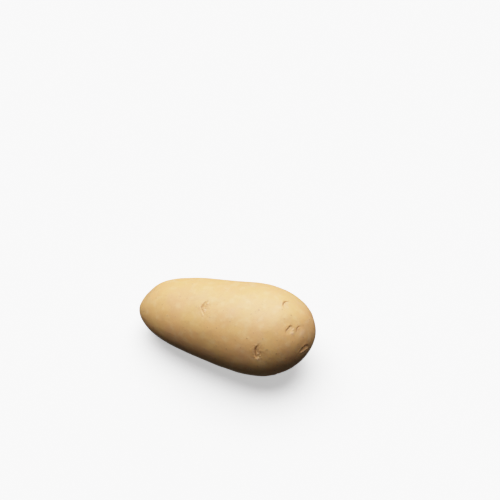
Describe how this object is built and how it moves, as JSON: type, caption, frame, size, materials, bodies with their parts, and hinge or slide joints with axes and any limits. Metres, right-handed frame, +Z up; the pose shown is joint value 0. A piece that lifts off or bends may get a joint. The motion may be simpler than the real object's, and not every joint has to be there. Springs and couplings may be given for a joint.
{
  "type": "potato",
  "caption": "Long oval potato with a tapered stem end, a blunt rose end and shallow eyes, resting on a small flat spot on its belly.",
  "frame": {"origin": "bottom centre of the bounding box, on the surface that the potato rests on", "axes": "+X runs from the stem end to the rose end, +Y towards the back, +Z up from the resting spot"},
  "size_m": [0.115, 0.06, 0.052],
  "materials": {
    "potato_skin": "thin smooth cream-coloured skin with a soft satin shine"
  },
  "bodies": {
    "root": {"potato": "potato_skin"}
  },
  "joints": []
}
